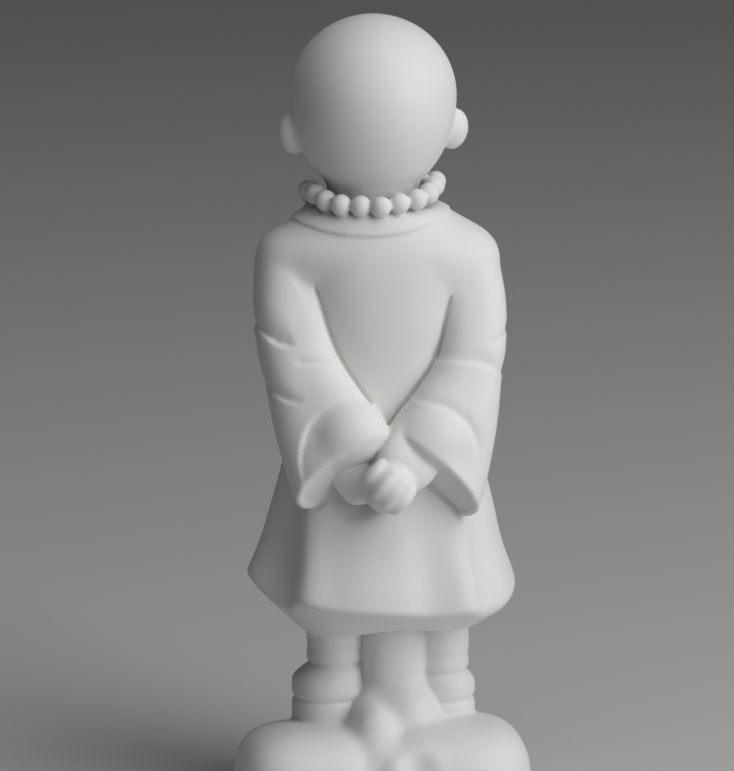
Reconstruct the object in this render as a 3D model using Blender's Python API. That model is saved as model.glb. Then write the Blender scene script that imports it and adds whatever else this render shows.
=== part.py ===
"""Baby monk statue: a small figure cast in one piece with the rock that it stands on.

The shape is worked out as a distance field: every carved form gives its distance to a point,
forms are blended or cut as a sculptor would press clay, and the zero surface becomes the mesh.

The rock's sizes are in metres. The figure is carved in units of its own, 132.9 of them from its
soles to its crown, which are millimetres at the size given here.
X points to the figure's left, Y to its back, Z up, with z = 0 at the soles.
"""

import math

import bmesh
import bpy
import numpy as np
from mathutils import Euler

# Driving sizes, in metres
FIGURE_HEIGHT = 0.1329
STANDING_LEVEL = 0.016
ROCK_WIDTH = 0.0552
ROCK_DEPTH = 0.0526
GRID_STEP = 0.0006
TRIANGLES = 9000

# The figure's own proportions, in its carving units: the head's centre and radii set its height
HEAD_X = 1.2
HEAD_Z = 118.0
HEAD_RADII = (15.35, 15.5, 14.9)
HEAD_LOWER = 1.28
NECK_RADIUS = 8.4
UNIT = FIGURE_HEIGHT / (HEAD_Z + HEAD_RADII[2])
FAR = 1e3


def curve(x, knots, values):
    """A smooth line through the given values, read at x."""
    knots, values = np.asarray(knots, float), np.asarray(values, float)
    slope = np.diff(values) / np.diff(knots)
    tangent = np.concatenate([slope[:1], (slope[:-1] + slope[1:]) / 2, slope[-1:]])
    i = np.clip(np.searchsorted(knots, x) - 1, 0, len(knots) - 2)
    step = knots[i + 1] - knots[i]
    t = np.clip((x - knots[i]) / step, 0, 1)
    start = (1 + 2 * t) * (1 - t) ** 2 * values[i] + t * (1 - t) ** 2 * step * tangent[i]
    end = t * t * (3 - 2 * t) * values[i + 1] - t * t * (1 - t) * step * tangent[i + 1]
    return start + end


def ramp(x, low, high):
    """0 below low, 1 above high, smooth between."""
    t = np.clip((x - low) / (high - low), 0, 1)
    return t * t * (3 - 2 * t)


def bump(angle, centre, width):
    """1 at centre, falling away on both sides, for angles in degrees."""
    away = (angle - centre + 180) % 360 - 180
    return np.exp(-((away / width) ** 2))


def merged(a, b, blend):
    """The lower of two distances, with the seam filled over the blend width."""
    blend = np.maximum(blend, 1e-6)
    h = np.clip(0.5 + 0.5 * (b - a) / blend, 0, 1)
    return b * (1 - h) + a * h - blend * h * (1 - h)


class Form:
    """A distance function and the box that it stays in."""

    def __init__(self, low, high, distance):
        self.low, self.high, self.distance = np.array(low, float), np.array(high, float), distance


def ovals(u, v, wide, thin, power=2.0):
    """Distance to an oval of half-axes wide and thin, near enough for blending. A higher power squares it."""
    u, v = np.abs(u) / wide, np.abs(v) / thin
    share = np.maximum((u**power + v**power) ** (1 / power), 1e-6)
    slope = np.hypot((u / share) ** (power - 1) / wide, (v / share) ** (power - 1) / thin)
    return (share - 1) / np.maximum(slope, 0.5 / np.maximum(wide, thin))


def ellipsoid(centre, radii, turn=(0, 0, 0), lower=1.0, power=2.0):
    """turn is in degrees; lower stretches the half below the centre; a higher power makes it boxier."""
    centre, radii = np.array(centre, float), np.array(radii, float)
    matrix = np.array(Euler([math.radians(a) for a in turn]).to_matrix())

    def distance(p):
        q = (p - centre) @ matrix
        q[:, 2] = np.where(q[:, 2] < 0, q[:, 2] / lower, q[:, 2])
        shares = np.abs(q) / radii
        size = np.maximum((shares**power).sum(1) ** (1 / power), 1e-6)
        slope = np.linalg.norm((shares / size[:, None]) ** (power - 1) / radii, axis=1)
        return (size - 1) / np.maximum(slope, 1e-6)

    reach = radii.max() * max(1.0, lower)
    return Form(centre - reach, centre + reach, distance)


def smooth_line(points, pieces):
    """Points along a Catmull-Rom line through the given ones, pieces to each span."""
    points = np.array(points, float)
    ends = np.vstack([2 * points[0] - points[1], points, 2 * points[-1] - points[-2]])
    made = []
    for i in range(len(points) - 1):
        a, b, c, d = ends[i : i + 4]
        for t in np.arange(pieces) / pieces:
            made.append(b + 0.5 * t * (c - a + t * (2 * a - 5 * b + 4 * c - d + t * (3 * (b - c) + d - a))))
    return np.array([*made, points[-1]])


def sleeve(points, wides, thins, axes, pieces=4, power=2.0):
    """An oval section carried along a smooth line. axes are the directions of the wide half-axis."""
    stations = smooth_line(np.column_stack([points, wides, thins, axes]), pieces)

    def distance(p):
        nearest = np.full(len(p), FAR)
        for a, b in zip(stations[:-1], stations[1:]):
            line = b[:3] - a[:3]
            t = np.clip((p - a[:3]) @ line / (line @ line), 0, 1)
            here = a + t[:, None] * (b - a)
            away = p - here[:, :3]
            axis = here[:, 5:] / np.linalg.norm(here[:, 5:], axis=1)[:, None]
            u = np.einsum("ij,ij->i", away, axis)
            v = np.sqrt(np.maximum(np.einsum("ij,ij->i", away, away) - u * u, 0))
            nearest = np.minimum(nearest, ovals(u, v, here[:, 3], here[:, 4], power))
        return nearest

    reach = max(max(wides), max(thins))
    return Form(stations[:, :3].min(0) - reach, stations[:, :3].max(0) + reach, distance)


def tube(points, radii, pieces=4):
    """A round section carried along a smooth line."""
    stations = smooth_line(np.column_stack([points, np.broadcast_to(radii, len(points))]), pieces)

    def distance(p):
        nearest = np.full(len(p), FAR)
        for a, b in zip(stations[:-1], stations[1:]):
            line = b[:3] - a[:3]
            t = np.clip((p - a[:3]) @ line / (line @ line), 0, 1)
            away = p - (a[:3] + t[:, None] * line)
            nearest = np.minimum(nearest, np.linalg.norm(away, axis=1) - (a[3] + t * (b[3] - a[3])))
        return nearest

    reach = np.max(radii)
    return Form(stations[:, :3].min(0) - reach, stations[:, :3].max(0) + reach, distance)


def turned(centre, radius, low, high):
    """A form on an upright axis: centre and radius are functions of height."""

    def distance(p):
        z = p[:, 2]
        x, y = centre(z)
        side = 0.92 * (np.hypot(p[:, 0] - x, p[:, 1] - y) - radius(z))
        return np.maximum(side, np.maximum(low[2] - z, z - high[2]))

    return Form(low, high, distance)


class Clay:
    """Distances from a set of points to a shape that grows as forms are pressed on or cut away."""

    def __init__(self, points, margin):
        self.points, self.margin = points, margin
        self.depth = np.full(len(points), FAR)

    def _near(self, form):
        inside = (self.points > form.low - self.margin) & (self.points < form.high + self.margin)
        return np.flatnonzero(inside.all(axis=1))

    def add(self, form, blend=0.5, seam=None):
        """seam is the radius of the groove left where the new form meets the old ones, read at each point."""
        near = self._near(form)
        if not len(near):
            return
        old, new = self.depth[near], form.distance(self.points[near])
        width = blend(self.points[near]) if callable(blend) else blend
        both = merged(old, new, width)
        if seam:
            both = -merged(-both, np.hypot(old, new) - seam(self.points[near]), 0.4)
        self.depth[near] = both

    def carve(self, form, blend=0.5):
        near = self._near(form)
        if len(near):
            self.depth[near] = -merged(-self.depth[near], form.distance(self.points[near]), blend)


# The robe: half-widths and depths at heights above the soles
ROBE_Z = [16, 22, 28, 32, 36, 40, 46, 52, 60, 70, 80, 86, 90, 92.5, 94.5, 96.5, 98.2]
ROBE_HALF = [
    25.6, 24.9, 23.6, 22.2, 21.1, 20.4, 19.2, 17.9, 16.6, 15.9, 16.4, 17.6, 17.9, 16.9, 15.2, 13.0, 11.0,
]
ROBE_BACK = [
    21.0, 19.8, 18.8, 17.8, 16.9, 16.0, 14.7, 13.9, 13.2, 13.2, 13.6, 13.7, 13.4, 12.8, 12.1, 11.2, 10.0,
]
ROBE_FRONT = [
    22.0, 21.0, 20.2, 19.5, 18.8, 18.3, 17.8, 17.5, 17.2, 16.6, 15.4, 14.2, 13.2, 12.4, 11.6, 10.7, 9.6,
]
LEAN_Z = [0, 20, 44, 70, 92, 118]
LEAN_X = [-1.6, -0.7, -0.7, -0.1, 0.3, 1.1]
HEM_Z = 23.9
SOFT_EDGE = 0.9
UNDER_LEVEL = 18.8
ROBE_TOP = 97.3
COLLAR = ellipsoid((HEAD_X + 0.8, 0, 98), (15.3, 15.6, 7.0))
COLLAR_THICK = 0.55
RIDGE_Z = [22, 33, 41, 47]
LEFT_RIDGE = [45, 48, 53, 58]
RIGHT_RIDGE = [-39, -40, -42, -44]


def robe_section(p):
    """Distance past the robe's outline at a point's own height, and the outline's radius before its folds."""
    x, y, z = p.T
    x = x - curve(z, LEAN_Z, LEAN_X)
    half = curve(z, ROBE_Z, ROBE_HALF)
    deep = np.where(y > 0, curve(z, ROBE_Z, ROBE_BACK), curve(z, ROBE_Z, ROBE_FRONT))
    power = 2.25 + 0.2 * ramp(z, 50, 30)
    share = ((np.abs(x) / half) ** power + (np.abs(y) / deep) ** power) ** (1 / power)
    out = np.hypot(x, y)
    angle = np.degrees(np.arctan2(x, y))
    left = curve(z, RIDGE_Z, LEFT_RIDGE)
    right = curve(z, RIDGE_Z, RIGHT_RIDGE)
    folds = (
        1.3 * bump(angle, left, 10)
        - 3.0 * bump(angle, left + 18, 13)
        + 2.2 * bump(angle, 90, 10)
        + 0.4 * bump(angle, 18, 18)
        - 0.9 * bump(angle, -20, 12)
        + 0.9 * bump(angle, right, 9)
        - 1.1 * bump(angle, right - 12, 8)
        + 0.7 * bump(angle, -88, 14)
        + 1.0 * bump(angle, 140, 10)
        - 1.2 * bump(angle, 122, 10)
        + 1.0 * bump(angle, -142, 10)
        - 1.2 * bump(angle, -124, 10)
    )
    radius = out / np.maximum(share, 1e-6)
    return out - radius - ramp(z, 54, 26) * folds, angle, radius, out


def robe(p):
    beyond, angle, radius, out = robe_section(p)
    z = p[:, 2]
    hem = HEM_Z + 2.7 * bump(angle, 92, 60) - 0.9 * bump(angle, -52, 20) + 0.4 * bump(angle, -90, 45)
    rise = 0.46 + 0.40 * bump(angle, 90, 60) + 0.20 * bump(angle, -90, 40)
    level = UNDER_LEVEL - 1.6 * bump(angle, 90, 60)
    under_z = -merged((radius - out) * rise - hem, -level, 1.0)
    under = (under_z - z) / np.hypot(1, rise)
    side = 0.93 * beyond
    shape = -merged(-side, -under, SOFT_EDGE * (1 + 1.5 * bump(angle, -90, 50)))
    return -merged(-shape, ROBE_TOP - z, 1.5)


def collared(p, drape):
    """The draped robe with its collar band, which lies round the neck and stands out by COLLAR_THICK."""
    band = -merged(COLLAR_THICK - drape, -COLLAR.distance(p), 0.45)
    return merged(drape, band, 0.35)


# Legs: middle, radius, heights of the gathered cuff's two creases, how far the cuff swells and to which side
LEGS = [(8.4, 5.3, (4.8, 11.3), 1.5, 1.3), (-11.3, 5.4, (4.1, 9.3), 0.9, -0.3)]
SOLE_Y = 0.8
LEG_CREASE = 0.45


def leg(x, radius, cuff, puff, side):
    low, high = cuff
    middle = (low + high) / 2

    def gather(z):
        return ramp(z, high + 0.2, middle)

    def girth(z):
        lines = bump_at(z, low) + bump_at(z, high) + 0.4 * bump_at(z, high + 3)
        return radius + puff * gather(z) - LEG_CREASE * lines

    def centre(z):
        return x + side * gather(z), SOLE_Y

    reach = radius + puff + abs(side) + 1
    return turned(centre, girth, (x - reach, -reach, -3), (x + reach, reach + 2, 24))


def bump_at(z, height, width=0.55):
    return np.exp(-(((z - height) / width) ** 2))


def add_legs(clay):
    for x, radius, cuff, puff, side in LEGS:
        clay.add(leg(x, radius, cuff, puff, side), 0.8)
        clay.add(ellipsoid((x + 0.6 * side, -5.5, 1.6), (5.7, 9.3, 4.6)), 0.8)


ARMS = [
    dict(
        points=[
            (15.8, 2.2, 86.6), (16.7, 4.4, 79), (16.0, 6.8, 72), (14.3, 9.4, 66),
            (12.4, 12.6, 60.2), (9.6, 15.0, 53.6), (7.0, 18.2, 47.4),
        ],
        wides=[7.5, 7.2, 7.2, 7.6, 8.9, 10.2, 10.8],
        thins=[7.0, 7.2, 7.2, 7.0, 6.3, 6.4, 6.2],
        axes=[
            (1, 0, 0), (1, 0, 0), (0.96, 0, -0.3), (0.86, 0, -0.47),
            (0.76, -0.06, -0.64), (0.73, -0.08, -0.68), (0.73, -0.08, -0.68),
        ],
        opening=((9.2, 20.4, 54.6), (-0.42, 0.66, -0.62), 0.35),
    ),
    dict(
        points=[
            (-14.8, 2.2, 85.8), (-16.1, 4.8, 79), (-15.7, 7.4, 72), (-14.0, 10.0, 66),
            (-11.6, 13.2, 59.4), (-8.5, 15.2, 52.4), (-6.0, 18.4, 46.0),
        ],
        wides=[7.1, 6.7, 6.5, 6.9, 8.8, 10.6, 10.8],
        thins=[7.0, 7.2, 7.2, 7.0, 6.3, 6.8, 6.6],
        axes=[
            (1, 0, 0), (1, 0, 0), (0.96, 0, 0.3), (0.86, 0, 0.47),
            (0.76, 0.06, 0.64), (0.72, 0.1, 0.68), (0.72, 0.1, 0.68),
        ],
        opening=((-6.4, 21.0, 54.6), (0.54, 0.58, -0.61), 0.5),
    ),
]
SLEEVE_POWER = 2.5
CUFF_WALL = 1.2
# Rounded swellings of the sleeves: (x, z) on the back, radii, and how far they stand out
SWELLINGS = [
    ((7.0, 59.4), (6.4, 5.2, 5.6), 0.9),
    ((-8.8, 58.0), (6.0, 5.0, 5.2), 0.9),
]
# Folds of the sleeves: (x, z) points of the edge, how far the cloth drops on the edge's left, and how far
# from it the drop reaches, both at even shares of its length
FOLDS = [
    (
        [(17.0, 74.0), (18.6, 73.8), (20.6, 74.2), (22.6, 75.4), (26.0, 77.6)],
        (0, 0.6, 0.9, 0.6, 0.2), (2.0, 3.4),
    ),
    (
        [(15.6, 64.3), (17.4, 63.9), (19.4, 64.2), (21.4, 65.2), (25.0, 67.0)],
        (0, 0.5, 0.6, 0.3, 0), (1.2, 2.0),
    ),
    (
        [(16.4, 48.5), (17.0, 54.0), (15.8, 59.2), (12.9, 62.8), (8.9, 64.6)],
        (0.1, 0.5, 0.9, 0.6, 0.1), (4.5, 1.6),
    ),
    ([(14.6, 80.6), (15.5, 82.8), (16.8, 85.2), (18.4, 87.8)], (0, 0.14, 0.12, 0), (2.2, 2.4)),
    ([(-26.0, 77.0), (-22.0, 74.4), (-19.6, 73.4), (-17.1, 74.3)], (0.2, 0.4, 0.3, 0), (1.2, 1.0)),
    ([(-19.8, 68.2), (-17.4, 69.6), (-14.5, 70.3), (-10.8, 70.5)], (0.5, 0.9, 0.6, 0.3), (1.8, 2.4)),
    (
        [(-16.0, 51.6), (-14.9, 56.6), (-12.9, 60.0), (-9.7, 62.5), (-5.8, 63.7)],
        (0.3, 0.7, 0.8, 0.6, 0.2), (1.6, 1.6),
    ),
]
FOLD_EDGE = 1.1
FOLD_REACH = 6.0


def cuffed(points, wides, thins, axes, opening):
    """A sleeve cut across at its opening, and hollowed inside it."""
    whole = sleeve(points, wides, thins, axes, 6, SLEEVE_POWER)
    at, along, depth = opening
    along = np.array(along) / np.linalg.norm(along)

    def distance(p):
        d = whole.distance(p)
        past = (p - at) @ along
        cut = -merged(-d, -past, 0.8)
        hollow = -merged(-(d + CUFF_WALL), past + depth, 1.0)
        return -merged(-cut, hollow, 0.4)

    return Form(whole.low, whole.high, distance)


def folded(p, drape):
    """The drape with its folds pressed in, on the back and at the sides."""
    drape = drape.copy()
    for path, depths, reaches in FOLDS:
        line = smooth_line([(x, 0, z) for x, z in path], 3)[:, [0, 2]]
        low, high = line.min(0) - 2 * max(reaches), line.max(0) + 2 * max(reaches)
        flat = p[:, [0, 2]]
        beside = ((flat > low) & (flat < high)).all(axis=1)
        near = np.flatnonzero(beside & (p[:, 1] > 0) & (np.abs(drape) < FOLD_REACH))
        flat = flat[near]
        nearest, left, share = np.full(len(near), FAR), np.zeros(len(near)), np.zeros(len(near))
        for i, (a, b) in enumerate(zip(line[:-1], line[1:])):
            along, away = b - a, flat - a
            t = np.clip(away @ along / (along @ along), 0, 1)
            gap = np.linalg.norm(away - t[:, None] * along, axis=1)
            closer = gap < nearest
            nearest = np.where(closer, gap, nearest)
            left = np.where(closer, along[0] * away[:, 1] - along[1] * away[:, 0], left)
            share = np.where(closer, (i + t) / (len(line) - 1), share)
        aside = np.where(left > 0, nearest, -nearest)
        depth = np.interp(share, np.linspace(0, 1, len(depths)), depths)
        reach = np.interp(share, np.linspace(0, 1, len(reaches)), reaches)
        edge = ramp(aside, -FOLD_EDGE / 3, FOLD_EDGE * 2 / 3)
        drape[near] += depth * edge * np.exp(-((aside / reach) ** 2))
    return drape


SEAM_RADIUS = 0.55
SEAM_TOP = 88.3
SEAM_SLANT = 0.09
SEAM_FADE = 9.0


def seam(p):
    """The groove between sleeve and back, which runs out on the shoulder."""
    top = SEAM_TOP + SEAM_SLANT * p[:, 0]
    return SEAM_RADIUS * (1.5 * ramp(top - p[:, 2], 0, SEAM_FADE) - 0.5)


def sleeve_blend(p):
    """Wide at the shoulder, tight below the armpit."""
    return 0.7 + 6.0 * ramp(p[:, 2] - SEAM_SLANT * p[:, 0], 81, 91)


FIST = np.array([0.8, 20.2, 48.9])
FIST_RADIUS = 5.0
FINGER_RADIUS = 1.3
FINGER_RISE = 0.35
FIRST_FINGER = np.array([2.9, 0, 2.7])
FINGER_STEP = np.array([-1.72, 0, -1.62])
FINGER_HALF = np.array([1.5, 0, -1.6])


# The robe is pressed in under the hands
HAND_POCKET = ellipsoid((6.2, 15.2, 45.6), (4.6, 4.0, 3.8))


def add_hands(clay):
    """The right hand lies over the left one and closes round it."""
    clay.carve(HAND_POCKET, 2.0)
    under = [(10.4, 12.0, 56.0), (7.6, 14.4, 52.2), (5.0, 15.6, 49.0)]
    clay.add(sleeve(under, [4.0, 4.6, 4.8], [2.8, 3.4, 3.8], [(0.62, 0, -0.78)] * 3), 0.3)
    palm = [(-8.8, 14.6, 59.6), (-5.0, 17.2, 55.6), (-2.4, 19.0, 52.7), (-0.6, 19.2, 50.8)]
    clay.add(sleeve(palm, [5.8, 5.9, 5.6, 4.4], [3.0, 3.2, 3.0, 2.8], [(0.75, 0, 0.66)] * 4, power=3.0), 0.3)
    clay.add(ellipsoid(FIST, (FIST_RADIUS,) * 3), 0.7)
    for finger in range(4):
        middle = FIRST_FINGER + finger * FINGER_STEP
        along = []
        for share in (-1, -0.3, 0.4, 1):
            v = middle + share * FINGER_HALF
            v[1] = math.sqrt(FIST_RADIUS**2 - min(v @ v, 0.9 * FIST_RADIUS**2)) + FINGER_RISE - FINGER_RADIUS
            along.append(FIST + v)
        clay.add(tube(along, [1.1, FINGER_RADIUS, FINGER_RADIUS, 1.1]), 0.3)


# Creases: (x, z) points on the surface, radius of the groove, its depth at the first and at the last point
BACK_CREASES = [([(17.0, 71.2), (13.4, 71.3), (10.3, 71.5)], 1.0, 0.3, 0.1)]
CREASE_BLEND = 0.4


def laid(path, surface, side):
    """Points of a path (x, z) on the surface from the back (side 1) or the front (-1), with the normals."""
    points = smooth_line([(x, side * 32.0, z) for x, z in path], 4)
    for _ in range(40):
        points[:, 1] -= 0.7 * side * surface(points)
    nudge = 0.05
    normals = np.column_stack([
        surface(points + nudge * axis) - surface(points - nudge * axis) for axis in np.eye(3)
    ])
    return points, normals / np.linalg.norm(normals, axis=1)[:, None]


def creases(paths, surface, side):
    made = []
    for path, radius, first, last in paths:
        points, normals = laid(path, surface, side)
        along = np.linspace(0, 1, len(points))
        deep = (first + (last - first) * along) * np.minimum(1, 3 * np.sin(math.pi * along) + 0.15)
        made.append(tube(points + (radius - deep)[:, None] * normals, [radius] * len(points), 1))
    return made


def set_in(form, at, radii, out, side=1):
    """An ellipsoid that stands out of a surface at (x, z), on the back (side 1) or the front (-1)."""
    points, normals = laid([at, at], form, side)
    return ellipsoid(points[0] + (out - radii[1]) * normals[0], radii)


def sleeved(p, margin):
    """The robe with its sleeves alone."""
    clay = Clay(p, margin)
    clay.add(Form((-32, -26, 12), (32, 26, 102), robe), 0.8)
    for arm in ARMS:
        clay.add(cuffed(**arm), sleeve_blend, seam)
    return clay.depth


def reach_all(form):
    """The form as a function of points alone, true far from it too."""
    return lambda p: form(p, 80)


HEAD = ellipsoid((HEAD_X, 0, HEAD_Z), HEAD_RADII, lower=HEAD_LOWER)
EYE_Z = 112.6
MOUTH_Z = 104.4
# Forms of the face, the paired ones on both sides: x from the middle, z, radii, how far out, blend
FEATURES = [
    (7.2, 106.6, (5.4, 4.8, 4.8), 3.4, 3.0),
    (5.6, EYE_Z + 0.5, (3.3, 2.0, 2.0), 0.7, 1.8),
    (5.4, EYE_Z + 4.2, (3.2, 1.1, 0.7), 0.25, 0.9),
    (0, 111.4, (1.2, 1.7, 2.8), 1.0, 1.6),
    (0, 108.8, (1.6, 1.5, 1.3), 2.9, 1.0),
    (1.2, 108.4, (0.95, 1.0, 0.85), 2.0, 0.4),
    (0, 105.8, (3.3, 2.2, 2.1), 2.5, 1.8),
    (0, 102.8, (3.0, 2.6, 2.0), 2.2, 1.6),
]
EYE_LINE = [(2.8, 0.5), (4.1, -0.5), (5.6, -0.9), (7.1, -0.6), (8.5, 0.4)]
MOUTH_LINE = [(-2.5, 0.7), (-1.3, 0.0), (0, -0.15), (1.3, 0.0), (2.5, 0.7)]
CREASE_RADIUS = 0.5
CREASE_DEPTH = 0.45
FACE_CREASES = [
    ([(HEAD_X + x, EYE_Z + z) for x, z in EYE_LINE], CREASE_RADIUS, CREASE_DEPTH, CREASE_DEPTH),
    ([(HEAD_X - x, EYE_Z + z) for x, z in EYE_LINE], CREASE_RADIUS, CREASE_DEPTH, CREASE_DEPTH),
    ([(HEAD_X + x, MOUTH_Z + z) for x, z in MOUTH_LINE], CREASE_RADIUS, CREASE_DEPTH, CREASE_DEPTH),
]
EAR_SET = 0.96
FACE_FORMS = [
    (set_in(HEAD.distance, (HEAD_X + side * x, z), radii, out, -1), blend)
    for x, z, radii, out, blend in FEATURES
    for side in ((-1, 1) if x else (1,))
]


def skull(p, margin):
    clay = Clay(p, margin)
    clay.add(tube([(HEAD_X, 0, 92), (HEAD_X, 0, 104)], NECK_RADIUS), 1.0)
    clay.add(HEAD, 1.5)
    for form, blend in FACE_FORMS:
        clay.add(form, blend)
    for side, ear_z in ((1, 111.2), (-1, 111.5)):
        ear_x = HEAD_X + side * EAR_SET * HEAD_RADII[0]
        clay.add(ellipsoid((ear_x, 0.6, ear_z), (2.8, 2.3, 3.8), turn=(0, side * 10, 0)), 0.5)
        clay.carve(ellipsoid((ear_x + side * 0.6, -1.9, ear_z), (1.5, 1.0, 2.4)), 0.4)
    return clay.depth


BEAD_RADIUS = 1.96
BEAD_SPACING = 1.9
STRAND_BLEND = 0.7
NECKLACE_TILT = 0.05
NECKLACE = [
    (0, 11.6, 99.2), (8.2, 8.3, 99.8), (11.6, 0, 101.0),
    (10.2, -8.8, 98.2), (5.4, -14.6, 91.6), (0, -16.6, 88.2),
]


def string_line():
    """Points close together round the closed string, from the nape."""
    half = np.array(NECKLACE, float)
    other = half[-2:0:-1] * (-1, 1, 1)
    ring = smooth_line(np.vstack([half, other, half[:1]]), 16)
    ring[:, 2] -= NECKLACE_TILT * ring[:, 0]
    return ring + (HEAD_X, 0, 0)


def spaced(ring, count):
    """That many points evenly round a closed line."""
    lengths = np.concatenate([[0], np.cumsum(np.linalg.norm(np.diff(ring, axis=0), axis=1))])
    at = np.arange(count) * lengths[-1] / count
    return np.column_stack([np.interp(at, lengths, ring[:, i]) for i in range(3)])


def necklace(p, margin):
    ring = string_line()
    length = np.linalg.norm(np.diff(ring, axis=0), axis=1).sum()
    clay = Clay(p, margin)
    for centre in spaced(ring, round(length / (BEAD_SPACING * BEAD_RADIUS))):
        clay.add(ellipsoid(centre, (BEAD_RADIUS,) * 3), 0.12)
    return clay.depth


# The robe crosses over in front: the collar's two ends and the edge of the outer flap
LAPELS = [
    [(-10.0, 96.6), (-7.0, 91.4), (-2.6, 85.6), (2.0, 80.6)],
    [(11.6, 96.6), (8.8, 91.2), (3.4, 84.4), (-2.8, 78.2), (-9.6, 72.8)],
]
FLAP = ([(-9.6, 72.8), (-11.4, 62), (-12.4, 45), (-13.2, 27)], 1.0, 0.7, 0.7)
LAPEL_HALF = 2.5
LAPEL_THICK = 1.0


def lapel(path, surface):
    points, normals = laid(path, surface, -1)
    across = np.cross(np.gradient(points, axis=0), normals)
    count = len(points)
    return sleeve(points, [LAPEL_HALF] * count, [LAPEL_THICK] * count, across, 1)


SLEEVED = reach_all(sleeved)
ROUNDED = [set_in(SLEEVED, *each) for each in SWELLINGS]


def draped(p, margin):
    """The robe with its sleeves, their swellings and folds, before its creases are cut."""
    clay = Clay(p, margin)
    clay.depth = sleeved(p, margin)
    for form in ROUNDED:
        clay.add(form, 2.2)
    return folded(p, clay.depth)


DRAPED = reach_all(draped)
CREASES = creases(BACK_CREASES, DRAPED, 1) + creases([FLAP], DRAPED, -1)
BANDS = [lapel(path, DRAPED) for path in LAPELS]
FACE = creases(FACE_CREASES, reach_all(skull), -1)


def figure_distance(p, margin):
    clay = Clay(p, margin)
    clay.depth = draped(p, margin)
    for crease in CREASES:
        clay.carve(crease, CREASE_BLEND)
    clay.depth = collared(p, clay.depth)
    for band in BANDS:
        clay.add(band, 0.3)
    add_legs(clay)
    add_hands(clay)
    head = Clay(p, margin)
    head.depth = skull(p, margin)
    for line in FACE:
        head.carve(line, 0.3)
    clay.depth = merged(clay.depth, head.depth, 0.3)
    return merged(clay.depth, necklace(p, margin), STRAND_BLEND)


# Rock lobes: centre and radii as shares of half the rock's width, half its depth and the standing level, and
# how boxy each is
LOBES = [
    ((0.485, 0.32, 0.30), (0.525, 0.56, 0.75), 3.2),
    ((-0.475, 0.32, 0.37), (0.50, 0.56, 0.72), 3.0),
    ((-0.44, 0.44, 0.50), (0.42, 0.48, 0.48), 2.6),
    ((-0.12, 0.44, 0.52), (0.34, 0.46, 0.50), 2.6),
    ((0.07, 0.21, 1.17), (0.150, 0.16, 0.26), 2.0),
    ((0.08, 0.38, 0.95), (0.155, 0.22, 0.34), 2.0),
    ((0.08, 0.52, 0.70), (0.155, 0.24, 0.40), 2.0),
    ((-0.08, 0.10, 1.75), (0.215, 0.215, 0.75), 2.3),
    ((-0.16, 0.20, 1.10), (0.22, 0.25, 0.42), 2.0),
    ((-0.045, -0.05, 1.70), (0.25, 0.15, 1.00), 2.0),
    ((0.38, -0.40, 0.20), (0.50, 0.56, 0.58), 2.2),
    ((-0.42, -0.42, 0.30), (0.50, 0.54, 0.58), 2.4),
    ((0.02, -0.10, 0.20), (0.80, 0.80, 0.60), 2.0),
    ((0.0, 0.0, 0.35), (0.70, 0.60, 0.66), 2.4),
]
# One lobe at the back left lies on the others with a clear edge
LOW_LOBE = ((0.43, 0.56, 0.42), (0.26, 0.30, 0.50))
HOLLOW = ((-0.15, 1.06, 0.86), (0.14, 0.22, 0.28))
ROCK_BLEND = 0.0025


def rock_distance(p, margin):
    clay = Clay(p, margin)
    size = np.array([ROCK_WIDTH / 2, ROCK_DEPTH / 2, STANDING_LEVEL])
    for centre, radii, power in LOBES:
        clay.add(ellipsoid(centre * size, radii * size, power=power), ROCK_BLEND)
    clay.add(ellipsoid(LOW_LOBE[0] * size, LOW_LOBE[1] * size), ROCK_BLEND / 4)
    clay.carve(ellipsoid(HOLLOW[0] * size, HOLLOW[1] * size), ROCK_BLEND)
    return clay.depth


def statue_distance(p, margin):
    """Distance in metres from points in metres to the statue's surface."""
    soles = np.array([0, 0, STANDING_LEVEL])
    figure = figure_distance((p - soles) / UNIT, margin / UNIT) * UNIT
    return merged(figure, rock_distance(p, margin), 0.0008)


def sampled(distance, low, high, step):
    """The distance on a grid: coarse everywhere, fine only near the surface."""
    block, middle = 8, 2
    size = (np.ceil((high - low) / (step * block)).astype(int) + 1) * block
    grid = np.full(size, FAR, np.float32)

    def corners(starts, width, stride):
        along = np.arange(0, width, stride)
        offsets = np.stack(np.meshgrid(along, along, along, indexing="ij"), -1).reshape(-1, 3)
        return (starts[:, None, :] + offsets).reshape(-1, 3)

    def fill(starts, width, values):
        cells = corners(starts, width, 1)
        grid[tuple(cells.T)] = np.repeat(values, width**3)

    def nearby(starts, width, allowance):
        centre = low + (starts + (width - 1) / 2) * step
        reach = allowance * width * step
        values = distance(centre, reach + 2 * step)
        fill(starts, width, values)
        return starts[np.abs(values) < reach]

    blocks = np.stack(np.meshgrid(*[np.arange(0, n, block) for n in size], indexing="ij"), -1)
    starts = nearby(blocks.reshape(-1, 3), block, 1.5)
    starts = nearby(corners(starts, block, middle), middle, 1.8)
    cells = corners(starts, middle, 1)
    grid[tuple(cells.T)] = distance(low + cells * step, 3 * step)
    return grid


def corners_of(inside):
    """The eight corners of every cell, as views of the grid."""
    ends = (slice(None, -1), slice(1, None))
    return [inside[i, j, k] for i in ends for j in ends for k in ends]


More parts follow.
